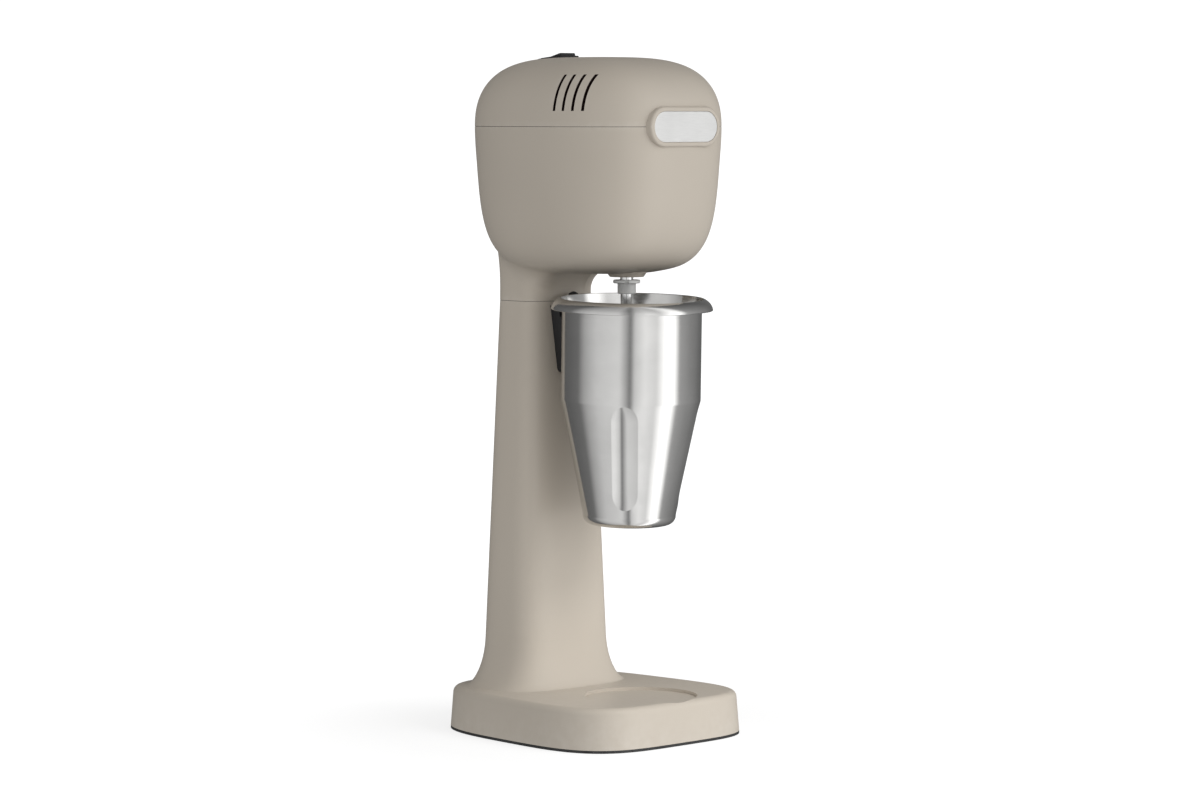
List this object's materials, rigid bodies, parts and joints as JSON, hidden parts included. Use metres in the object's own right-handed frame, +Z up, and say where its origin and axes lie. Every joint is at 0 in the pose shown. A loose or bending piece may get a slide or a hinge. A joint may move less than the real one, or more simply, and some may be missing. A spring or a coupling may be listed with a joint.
{
  "type": "milkshake mixer",
  "caption": "Countertop spindle drink mixer: barrel head with a motor over a fluted steel cup hung on a column, on a broad low base with a round tray recess.",
  "frame": {"origin": "middle of the sole's underside, on the line down the base's outline centre", "axes": "+Z up, -Y to the front (badge and cup side), +X to the right seen from behind"},
  "size_m": [0.169, 0.1977, 0.4902],
  "materials": {
    "casting_paint": "satin warm greige enamel over die-cast aluminium",
    "black_plastic": "satin black",
    "grey_plastic": "moulded light grey, fine grain",
    "stainless": "brushed and polished stainless steel",
    "polished_steel": "bright turned steel",
    "badge_metal": "bright brushed plate, blank",
    "rubber": "matt black",
    "screw_steel": "zinc plated",
    "sheet_steel": "plain sheet",
    "aluminium": "as cast",
    "lamination": "stacked electrical steel, oiled",
    "copper": "enamelled copper wire",
    "brass": "stamped brass",
    "carbon": "pressed carbon",
    "red_insulation": "varnished red wire insulation"
  },
  "bodies": {
    "housing": {"badge_bezel": "casting_paint", "badge_plate": "badge_metal", "base_column": "casting_paint", "bolt_spacers": "sheet_steel", "bottom_plate": "sheet_steel", "brush_holders": "brass", "brush_springs": "sheet_steel", "cable_gland": "black_plastic", "carbon_brushes": "carbon", "cover_screws": "screw_steel", "cup_holder": "black_plastic", "earth_screw": "brass", "field_coil_front": "copper", "field_coil_rear": "copper", "gland_nut": "black_plastic", "head_body": "casting_paint", "head_gasket": "rubber", "holder_screws": "screw_steel", "internal_leads": "red_insulation", "joint_screws": "screw_steel", "lever_pin": "polished_steel", "lower_bearing": "polished_steel", "lower_bracket": "aluminium", "microswitch": "black_plastic", "microswitch_pin": "screw_steel", "microswitch_screw": "screw_steel", "motor_mounts": "rubber", "mount_screws": "screw_steel", "neck_gasket": "rubber", "rocker_pin": "polished_steel", "rubber_sole": "rubber", "shaft_seal": "rubber", "sole_screws": "screw_steel", "stator_core": "lamination", "switch_frame": "black_plastic", "terminal_block": "grey_plastic", "terminal_screws": "brass", "through_bolts": "screw_steel", "top_cover": "casting_paint", "upper_bearing": "polished_steel", "upper_bracket": "aluminium"},
    "spindle": {"motor_shaft": "polished_steel", "rotor_core": "lamination", "armature_windings": "copper", "commutator": "copper", "cooling_fan": "grey_plastic", "drive_coupling": "grey_plastic", "agitator_shaft": "polished_steel", "agitator_disc": "polished_steel", "upper_agitator_disc": "polished_steel"},
    "rocker": {"rocker": "black_plastic"},
    "cup": {"cup": "stainless"},
    "start_lever": {"start_lever": "black_plastic"},
    "microswitch_lever": {"microswitch_lever": "sheet_steel"}
  },
  "joints": [
    {"name": "spindle_spin", "type": "hinge", "parent": "housing", "child": "spindle", "pos_m": [0, -0.038, 0.33], "axis": [0, 0, 1], "continuous": true},
    {"name": "speed_rocker", "type": "hinge", "parent": "housing", "child": "rocker", "pos_m": [0, 0.0329, 0.4848], "axis": [1, 0, 0], "range_deg": [0, 10]},
    {"name": "cup_lift", "type": "slide", "parent": "housing", "child": "cup", "axis": [0, 0, 1], "range_m": [0, 0.006]},
    {"name": "start_lever", "type": "hinge", "parent": "housing", "child": "start_lever", "pos_m": [0, 0.0184, 0.287], "axis": [1, 0, 0], "range_deg": [-6, 0]},
    {"name": "microswitch_lever", "type": "hinge", "parent": "housing", "child": "microswitch_lever", "pos_m": [0, 0.057, 0.2826], "axis": [1, 0, 0], "range_deg": [0, 10.2]}
  ],
  "couplings": [
    {"joint": "microswitch_lever", "follows": "start_lever", "ratio": -1.7}
  ]
}
